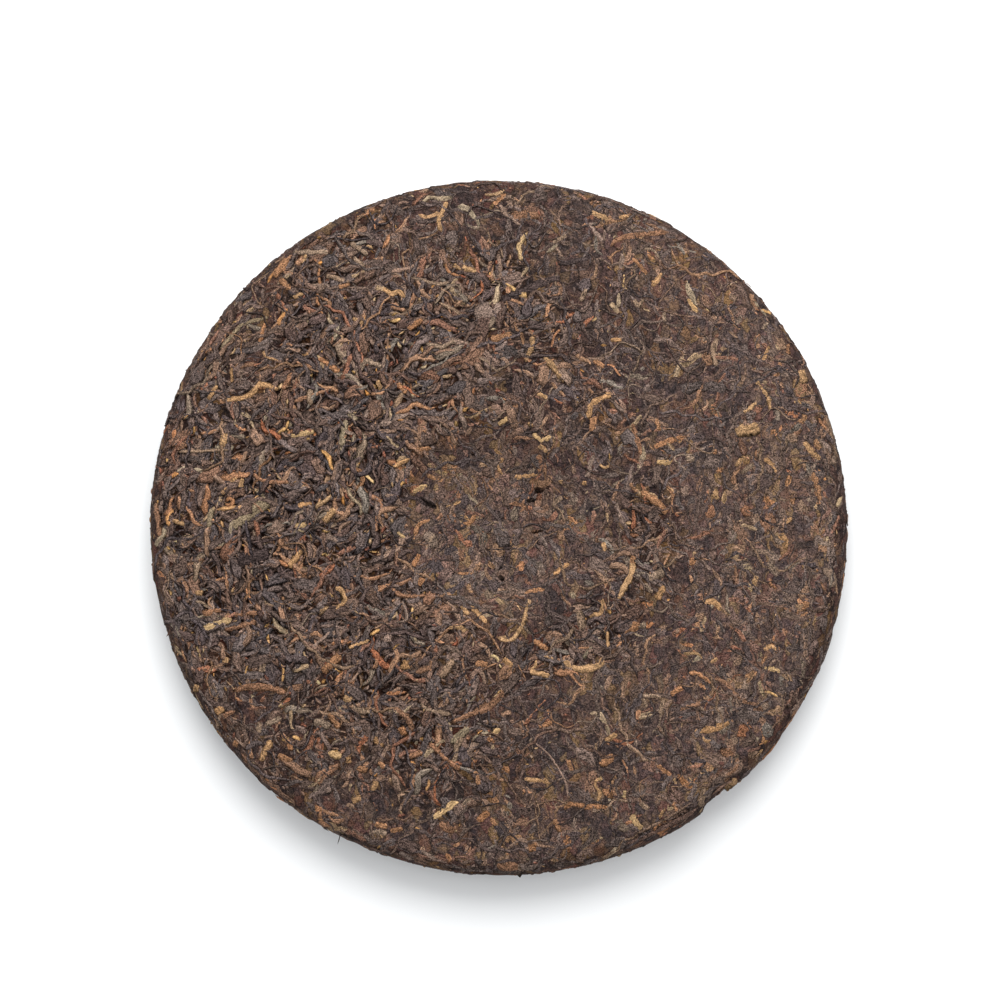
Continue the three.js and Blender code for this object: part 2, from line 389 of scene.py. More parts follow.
# joined closed meshes from arrays: every leaf has the same stations and the same section
def joinedLeaves(name, shape, place, profile):
    centreX, centreY = shape["x"], shape["y"]
    count, stations = centreX.shape
    sides = len(profile)
    dirX, dirY = np.gradient(centreX, axis=1), np.gradient(centreY, axis=1)
    norm = np.maximum(np.hypot(dirX, dirY), 1e-9)
    sideX, sideY = -dirY / norm, dirX / norm
    across = profile[:, 0][None, None, :] * shape["half"][:, :, None]
    up = profile[:, 1][None, None, :] * shape["rise"][:, :, None] * shape["crinkle"]
    roll = shape["roll"][:, :, None]
    turned = across * np.cos(roll) - up * np.sin(roll)
    out = across * np.sin(roll) + up * np.cos(roll) + shape["base"][:, :, None]
    points = place(
        centreX[:, :, None] + turned * sideX[:, :, None],
        centreY[:, :, None] + turned * sideY[:, :, None], out)
    inner = points[:, 1:-1].reshape(count, (stations - 2) * sides, 3)
    tips = np.stack((points[:, 0].mean(1), points[:, -1].mean(1)), 1)
    vertices = np.concatenate((inner, tips), 1)
    perLeaf = vertices.shape[1]
    rows = stations - 2
    first = np.arange(sides)
    after = (first + 1) % sides
    quads = np.concatenate([
        np.stack((r * sides + first, (r + 1) * sides + first,
                  (r + 1) * sides + after, r * sides + after), 1) for r in range(rows - 1)])
    startTip, endTip = rows * sides, rows * sides + 1
    lastRow = (rows - 1) * sides
    caps = np.concatenate((
        np.stack((np.full(sides, startTip), first, after), 1),
        np.stack((np.full(sides, endTip), lastRow + after, lastRow + first), 1)))
    step = (np.arange(count) * perLeaf)[:, None]
    corners = np.concatenate((
        (step[:, :, None] + quads[None]).reshape(count, -1),
        (step[:, :, None] + caps[None]).reshape(count, -1)), 1)
    sizes = np.tile(np.concatenate((np.full(len(quads), 4), np.full(len(caps), 3))), count)

    mesh = meshFromArrays(name, vertices.reshape(-1, 3), corners, sizes)

    lengths = np.hypot(np.diff(centreX), np.diff(centreY))
    along = np.concatenate((np.zeros((count, 1)), np.cumsum(lengths, 1)), 1)
    tipShare = np.concatenate((np.repeat(np.linspace(0, 1, rows), sides), (0, 1)))
    tipShade = 1 + shape["tipLight"][:, None] * (tipShare - 0.5)[None]
    tint = shape["tint"][:, None, :] * tipShade[:, :, None]
    # painted shade and light: a leaf's edges darken as if in the dark gaps beside it, the deeper the
    # looser it lies, and its back is lightened
    backShare = np.concatenate((np.tile(profile[:, 1], rows), (0, 0)))
    edgeShade = mix(*paintedLeafShading["edge"], shape["loose"])[:, None]
    paintedBackLight = mix(*paintedLeafShading["back"], shape["loose"])[:, None]
    tint = tint * mix(edgeShade, paintedBackLight, backShare[None])[:, :, None]
    addTintAndShade(mesh, tint.reshape(-1, 3))
    grain = np.zeros((count, perLeaf, 3))
    grain[:, :-2, 0] = np.repeat(along[:, 1:-1], sides, 1)
    grain[:, -1, 0] = along[:, -1]
    grain[:, :-2, 1] = across[:, 1:-1].reshape(count, -1)
    # every leaf takes its fibres from a layer of its own in the noise
    grain[:, :, 2] = (np.arange(count) * 7.31 % 91 * 3)[:, None]
    mesh.attributes.new("leafGrain", "FLOAT_VECTOR", "POINT").data.foreach_set(
        "vector", grain.astype(np.float32).ravel())
    addCells(mesh, count, rows, sides)
    return mesh


# a cell of its own in the texture for each leaf: its length across and its section up
def addCells(mesh, count, rows, sides):
    columns = max(1, round(math.sqrt(count / 2)))
    lines = math.ceil(count / columns)
    leaf = np.arange(count)
    cellU, cellV = (leaf % columns) / columns, (leaf // columns) / lines
    quadU, quadV = [], []
    for r in range(rows - 1):
        for s in range(sides):
            begin, end = (r + 1) / (rows + 1), (r + 2) / (rows + 1)
            quadU += [begin, end, end, begin]
            quadV += [s / sides, s / sides, (s + 1) / sides, (s + 1) / sides]
    for s in range(sides):
        quadU += [0, 1 / (rows + 1), 1 / (rows + 1)]
        quadV += [(s + 0.5) / sides, s / sides, (s + 1) / sides]
    for s in range(sides):
        quadU += [1, rows / (rows + 1), rows / (rows + 1)]
        quadV += [(s + 0.5) / sides, (s + 1) / sides, s / sides]
    margin = 0.04
    u = cellU[:, None] + (margin + np.array(quadU) * (1 - 2 * margin))[None] / columns
    v = cellV[:, None] + (margin + np.array(quadV) * (1 - 2 * margin))[None] / lines
    layer = mesh.uv_layers.new(name="OFBake")
    layer.data.foreach_set("uv", np.stack((u, v), -1).astype(np.float32).ravel())


# sections of a leaf as (across, up) from one edge over the crest to the other
flatSection = np.array([(-1, 0), (-0.55, 0.9), (0, 0.5), (0.5, 1), (1, 0)])
twistedSection = np.array([(-1, 0), (-0.45, 1), (0.45, 0.85), (1, 0)])
crumbSection = np.array([(-1, 0), (0.1, 1), (1, 0)])
patchSection = np.array([(-1, 0), (-0.65, 0.85), (0.6, 1), (1, 0)])
budSection = np.array([(-1, 0), (-0.55, 0.85), (0.05, 1), (0.6, 0.8), (1, 0)])

# what each kind of leaf is like: sizes in mm, the triangles go by stations and the section, crest
# is how high the leaf's back comes against the pressed surface where it is felted and where it is
# loose, and the colours stand with their weight
leafKinds = {
    "broad_leaf": {
        "section": flatSection, "stations": 6, "length": (5, 12), "width": (2.0, 4.2),
        "height": (0.3, 0.6), "bend": 0.2, "kink": 0.25, "blunt": 0.45, "ragged": 0.3,
        "crest": ((-0.75, 0.0), (-1.25, 0.4)),
        "count": {"face": 1900, "rim": 360, "under": 1300},
        "colours": (("#4a3d3a", 5), ("#51443f", 5), ("#5d4e47", 4), ("#675247", 2.5), ("#735a4a", 1),
                    ("#57433a", 2), ("#483d39", 3)),
    },
    "felted_leaf": {
        "section": patchSection, "stations": 7, "length": (3, 9), "width": (1, 3.3),
        "height": (0.3, 0.4), "bend": 0.4, "kink": 0.25, "blunt": 0.4, "ragged": 0.35,
        "crest": ((-0.2, 0.0), (-2.2, -1.2)),
        "count": {"face": 2600},
        "colours": (("#3a3132", 4), ("#483d39", 5), ("#554640", 5), ("#614f45", 4.5), ("#6e594a", 3),
                    ("#7e5f45", 1.7), ("#65493e", 2.4), ("#846c50", 0.9), ("#5e5349", 1)),
    },
    "felted_flake": {
        "section": patchSection, "stations": 7, "length": (3, 7.5), "width": (2.2, 5),
        "height": (0.14, 0.22), "bend": 0.3, "kink": 0.2, "blunt": 0.4, "ragged": 0.55,
        "crest": ((-0.2, -0.04), (-2.2, -1.2)),
        "count": {"face": 1100, "rim": 260},
        "colours": (("#71513e", 3), ("#7c5b43", 2), ("#634b42", 3), ("#685649", 2), ("#3a3132", 4),
                    ("#56453f", 3)),
    },
    "hair_strand": {
        "section": crumbSection, "stations": 12, "length": (6, 17), "width": (0.4, 0.7),
        "height": (0.25, 0.4), "bend": 0.75, "kink": 0.5, "blunt": 0.2, "ragged": 0.1,
        "crest": ((-0.06, 0.1), (-0.6, 0.45)),
        "count": {"face": 620},
        "colours": (("#3b3231", 4), ("#483c37", 3.5), ("#755f4e", 0.9), ("#5c4b42", 2)),
    },
    "twisted_leaf": {
        "section": twistedSection, "stations": 8, "length": (5, 15), "width": (0.95, 2.4),
        "height": (0.5, 0.95), "bend": 0.35, "kink": 0.35, "blunt": 0.5, "ragged": 0.28,
        "crest": ((-0.75, 0.0), (-1.25, 0.4)),
        "count": {"face": 5300, "rim": 850, "under": 1200},
        "colours": (("#493c38", 4), ("#53453f", 5), ("#604f47", 4.5), ("#6f594b", 3), ("#80604a", 2.1),
                    ("#734f3e", 1.7), ("#836f58", 1.2), ("#483e3a", 2), ("#6b5d50", 1.3)),
    },
    "long_strand": {
        "section": twistedSection, "stations": 13, "length": (14, 30), "width": (0.8, 1.4),
        "height": (0.5, 0.8), "bend": 0.45, "kink": 0.6, "blunt": 0.35, "ragged": 0.12,
        "crest": ((-0.4, 0.12), (-1.25, 0.4)),
        "count": {"face": 800, "rim": 110, "under": 160},
        "colours": (("#433836", 4), ("#4d403c", 3), ("#54463f", 4), ("#655141", 1.2), ("#7b5f4a", 0.5),
                    ("#6d4c3d", 0.4)),
    },
    "leaf_crumb": {
        "section": crumbSection, "stations": 4, "length": (1.4, 4), "width": (0.6, 1.3),
        "height": (0.3, 0.7), "bend": 0.3, "kink": 0, "blunt": 0.4, "ragged": 0.3,
        "crest": ((-0.75, 0.0), (-1.25, 0.4)),
        "count": {"face": 9500, "rim": 3600, "under": 2400},
        "colours": (("#3c312e", 4), ("#4f403a", 5), ("#66534a", 5), ("#7d6151", 3), ("#957146", 1),
                    ("#744a3b", 1), ("#9a7f60", 0.8)),
    },
    "golden_bud": {
        "section": budSection, "stations": 8, "length": (3.5, 9), "width": (0.9, 1.7),
        "height": (0.45, 0.8), "bend": 0.4, "kink": 0.3, "blunt": 0.5, "ragged": 0.15,
        "crest": ((-0.75, 0.0), (-1.25, 0.4)),
        "count": {"face": 340, "rim": 70, "under": 180},
        "colours": (("#9a744e", 3), ("#a68459", 2.5), ("#8d6448", 4), ("#82634c", 5), ("#b1956b", 1)),
    },
}


# the colour that the dust rubs onto the leaves where they are felted together, and how much of its
# own colour a leaf keeps there and where it is loose
feltColour = np.array(linearColour("#54473d"))
ownColour = {"scattered": (0.74, 1), "fromPhoto": (0.9, 1)}

# how the leaves lie, in mm and radians; pitch, roll and twist where they're felted and where they're
# loose
laying = {
    "jitter": 1.2,
    "stray": 0.55,
    "rimBand": (-1.5, 22),     # down the rim's section from the face's edge
    "rimLength": 0.85,         # against the same kind on the face
    "rimCalm": 0.35,           # how much of its bend a leaf keeps on the rim
    "faceMargin": 1.1,         # the tips stay this far inside the outline
    "underRadius": 90,
    "underLimit": 93,          # the tips stay inside this
    "pitch": (0.04, 0.3),
    "roll": (0.05, 0.3),
    "twist": (0.05, 0.5),
    "levelWidth": 1.6,         # the press lays wider ones flatter
    "combing": ((19, 0.9, 11), (8, 0.6, 12)),  # swirls: size, strength and seed
    "combedEdge": (89, 97),    # between these radii the leaves turn along the edge
}


# a colour for each leaf, a little lighter or darker and a little warmer or cooler than its kind
def pickColours(rng, colours, count, spread, warmSpread=0.1):
    table = np.array([linearColour(c) for c, _ in colours])
    weights = np.array([w for _, w in colours], float)
    chosen = table[rng.choice(len(table), count, p=weights / weights.sum())]
    warmth = np.clip(rng.normal(0, warmSpread, count), -warmSpread, 2 * warmSpread)[:, None] * (1, 0, -1)
    return chosen * np.exp(rng.normal(0, spread, count)[:, None] + warmth)


# centres spread evenly with a little jitter, in a zone's own coordinates
def spreadOverDisc(rng, count, radius, jitter):
    n = np.arange(count) + 0.5
    reach = radius * np.sqrt(n / count)
    angle = n * goldenAngle + rng.uniform(0, 6.28)
    x, y = reach * np.cos(angle), reach * np.sin(angle)
    return x + rng.normal(0, jitter, count), y + rng.normal(0, jitter, count)


# leaves that lie side by side, as the rolling and the press comb them
def combedHeading(rng, x, y, stray):
    flow = math.pi * sum(strength * waves(x, y, size, seed) for size, strength, seed in laying["combing"])
    tangent = np.arctan2(y, x) + math.pi / 2
    edge = smoothStep(np.hypot(x, y), *laying["combedEdge"])
    turn = (tangent - flow + math.pi / 2) % math.pi - math.pi / 2
    return flow + edge * turn + rng.normal(0, 1, len(x)) * stray * (1 - 0.4 * edge)


def leafShape(rng, kind, zone, count):
    stations = kind["stations"]
    if zone == "rim":
        x = rng.uniform(0, 2 * math.pi * cakeForm["radius"], count)
        y = rng.uniform(*laying["rimBand"], count)
        heading = rng.normal(0, 0.4, count) + rng.choice((0, math.pi), count)
        loose = np.full(count, packing["rim"])
    else:
        reach = cakeForm["faceRadius"] + 0.5 if zone == "face" else laying["underRadius"]
        x, y = spreadOverDisc(rng, count, reach, laying["jitter"])
        heading = combedHeading(rng, x, y, laying["stray"])
        loose = looseness(x, y) if zone == "face" else np.full(count, packing["under"])
    low, high = kind["length"]
    length = low + (high - low) * rng.beta(1.3, 2.2, count)
    length = length * (laying["rimLength"] if zone == "rim" else 1)
    width = rng.uniform(*kind["width"], count)
    height = rng.uniform(*kind["height"], count) * mix(0.6, 1, loose)
    t = np.linspace(-1, 1, stations)[None]
    calm = laying["rimCalm"] if zone == "rim" else 1
    bend = rng.normal(0, kind["bend"], count)[:, None] * calm
    swing = rng.normal(0, kind["bend"] * 0.5, count)[:, None] * calm
    phase = rng.uniform(0, 6.28, count)[:, None]
    along = t * length[:, None] / 2
    aside = (bend * (t * t - 0.33) + swing * (t ** 3 - t)) * length[:, None] / 2
    aside = aside + calm * kind["kink"] * np.sin(phase + t * length[:, None] * 0.55)
    cos, sin = np.cos(heading)[:, None], np.sin(heading)[:, None]
    x, y = x[:, None] + along * cos - aside * sin, y[:, None] + along * sin + aside * cos
    if zone != "rim":
        limit = cakeForm["radius"] - laying["faceMargin"] if zone == "face" else laying["underLimit"]
        pull = np.minimum(1, limit / np.maximum(nominalRadius(x, y), 1e-6))
        x, y = x * pull, y * pull
    blunt = rng.uniform(kind["blunt"] * 0.5, kind["blunt"], count)[:, None]
    lean = rng.uniform(-0.5, 0.5, count)[:, None]
    body = np.clip(1 - np.abs(t) ** 2.6, 0, 1) ** blunt * (1 + lean * t)
    ragged = 1 + kind["ragged"] * rng.uniform(-1, 1, (count, stations))
    lumps = 1 + 0.25 * rng.uniform(-1, 1, (count, stations))
    # the crests reach from deep in the gaps to just over the pressed surface
    felted, proud = kind["crest"]
    crest = mix(rng.uniform(*felted, count), rng.uniform(*proud, count), loose)
    pitch = rng.normal(0, 1, count) * mix(*laying["pitch"], loose)
    twist = rng.normal(0, 1, count) * mix(*laying["twist"], loose)
    level = np.minimum(1, laying["levelWidth"] / width)
    crinkle = 1 + 0.12 * rng.uniform(-1, 1, (count, stations, len(kind["section"])))
    roll = (rng.normal(0, 1, count) * mix(*laying["roll"], loose))[:, None] + twist[:, None] * t
    tint = pickColours(rng, kind["colours"], count, 0.1)
    shape = {
        "x": x, "y": y,
        "half": width[:, None] / 2 * body * ragged,
        "rise": height[:, None] * np.maximum(body, 0.3) * lumps,
        "crinkle": crinkle,
        "base": (crest - height)[:, None] + pitch[:, None] * t,
        "roll": level[:, None] * roll,
        "tint": mix(feltColour, tint, mix(*ownColour["scattered"], loose)[:, None]),
        "tipLight": rng.normal(0, 0.2, count),
        "loose": loose,
    }
    # what the dust would bury all the way isn't made
    deepest = core["sink"] if zone == "under" else coreSink(loose)
    shown = crest + np.abs(pitch) * 0.5 > -deepest - 0.1
    return {key: value[shown] for key, value in shape.items()}


def addPiece(name, mesh, material):
    piece = bpy.data.objects.new(name, mesh)
    bpy.context.scene.collection.objects.link(piece)
    mesh.materials.append(material)
    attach(piece, "root")
    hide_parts("tea_cake")
    return piece


placeIn = {"face": placeOnFace, "rim": placeOnRim, "under": placeUnder}


# the angles of a ring's points, every other ring turned by half a step
def ringAngles(count, row):
    return (np.arange(count) + row % 2 / 2) / count * 2 * math.pi


# points a pitch apart on a ring of the disc
def discRing(radius, pitch, row):
    angle = ringAngles(max(6, round(2 * math.pi * radius / pitch)), row)
    reach = radius * outlineShare(angle)
    return np.stack((reach * np.cos(angle), reach * np.sin(angle)), 1)


# the imported dust and torn leaf under the whole leaves, brown where it is felted, with painted shade
# darkening it in the gaps
def addCore(material):
    rings = [np.array([[0.0, 0.0]])]
    kinds = ["face"]
    rows = round(cakeForm["faceRadius"] / core["pitch"])
    for row in range(1, rows + 1):
        rings.append(discRing(cakeForm["faceRadius"] * row / rows, core["pitch"], row))
        kinds.append("face")
    edgeCount = len(rings[-1])
    for row, down in enumerate(np.arange(core["pitch"], core["rimReach"], core["pitch"]), 1):
        along = ringAngles(edgeCount, row) * cakeForm["radius"]
        rings.append(np.stack((along, np.full(edgeCount, down)), 1))
        kinds.append("rim")
    endRadius = np.interp(rings[-1][0, 1], section[0], section[1])
    underPitch = core["pitch"] * 2
    underRows = round(endRadius / underPitch)
    for row in range(1, underRows):
        rings.append(discRing(endRadius * (1 - row / underRows), underPitch, row))
        kinds.append("under")
    rings.append(np.array([[0.0, 0.0]]))
    kinds.append("under")

    # painted shade: the dust is darkened in the gaps, the more the looser the leaves lie
    paintedGapShade = np.array((0.3, 0.22, 0.17))  # what is left of the dust's colour deep in the gaps
    points, ringGapShades = [], []
    for ring, kind in zip(rings, kinds):
        x, y = ring[:, 0], ring[:, 1]
        grit = waves(x, y, core["gritSize"], 3) + 0.5 * waves(x, y, core["gritSize"] / 2, 4)
        grit = core["grit"] * grit
        if kind == "face":
            loose = looseness(x, y)
            points.append(placeOnFace(x, y, grit * mix(0.5, 1, loose) - coreSink(loose)))
        elif kind == "rim":
            loose = np.full(len(x), packing["rim"])
            points.append(placeOnRim(x, y, grit - coreSink(loose)))
        else:
            loose = np.full(len(x), core["underLoose"])
            points.append(placeUnder(x, y, grit - core["underSink"]))
        ringGapShades.append(np.outer(np.clip(loose * 1.5, 0, 1), paintedGapShade - 1) + 1)
    starts = np.concatenate(([0], np.cumsum([len(p) for p in points])))
    faces = []
    for r in range(len(points) - 1):
        inner, outer = len(points[r]), len(points[r + 1])
        innerSteps, outerSteps = (inner if inner > 1 else 0), (outer if outer > 1 else 0)
        i = j = 0
        while i < innerSteps or j < outerSteps:
            pair = (starts[r] + i % inner, starts[r + 1] + j % outer)
            outerNext = (j + 0.5) / outer <= (i + 0.5) / inner
            if j < outerSteps and (i >= innerSteps or outerNext):
                j += 1
                faces.append((*pair, starts[r + 1] + j % outer))
            else:
                i += 1
                faces.append((*pair, starts[r] + i % inner))
    mesh = meshFromArrays("leaf_core", np.concatenate(points), np.array(faces), np.full(len(faces), 3))
    addTintAndShade(mesh, np.concatenate(ringGapShades))
    return addPiece("leaf_core", mesh, material)


# camera, first, because the marks read from the photograph are laid by it
def addCamera():
    middle = photo["size"] / 2
    offset = ((middle - photo["cakeMiddle"][0]) * pixel, (photo["cakeMiddle"][1] - middle) * pixel)
    tilt, heading = math.radians(photo["tilt"]), math.radians(photo["tiltHeading"])
    lean = math.sin(tilt)
    back = Vector((lean * math.cos(heading), lean * math.sin(heading), math.cos(tilt)))
    target = Vector((offset[0], offset[1], cakeForm["bellyHeight"]))
    camera = bpy.data.objects.new("camera", bpy.data.cameras.new("camera"))
    camera.data.sensor_width = photo["sensor"]
    camera.data.lens = photo["sensor"] * photo["distance"] / (photo["size"] * pixel)
    right = Vector((0, 1, 0)).cross(back).normalized()
    up = back.cross(right)
    camera.rotation_euler = Matrix((right, up, back)).transposed().to_euler()
    camera.location = (target + back * photo["distance"]) * mm
    camera.data.clip_start, camera.data.clip_end = 0.05, 20
    bpy.context.scene.collection.objects.link(camera)
    bpy.context.scene.camera = camera
    return {"place": target + back * photo["distance"], "right": right, "up": up, "back": back,
            "focal": camera.data.lens / photo["sensor"] * photo["size"]}


view = addCamera()


# the point of the face that a pixel of the photograph shows
def faceFromPhoto(px, py):
    middle = photo["size"] / 2
    ray = -view["back"] + view["right"] * ((px - middle) / view["focal"]) \
        - view["up"] * ((py - middle) / view["focal"])
    height = cakeForm["crownHeight"]
    for _ in range(4):
        reach = (height - view["place"].z) / ray.z
        x, y = view["place"].x + ray.x * reach, view["place"].y + ray.y * reach
        height = float(faceHeight(np.array([x]), np.array([y]))[0])
    return x, y
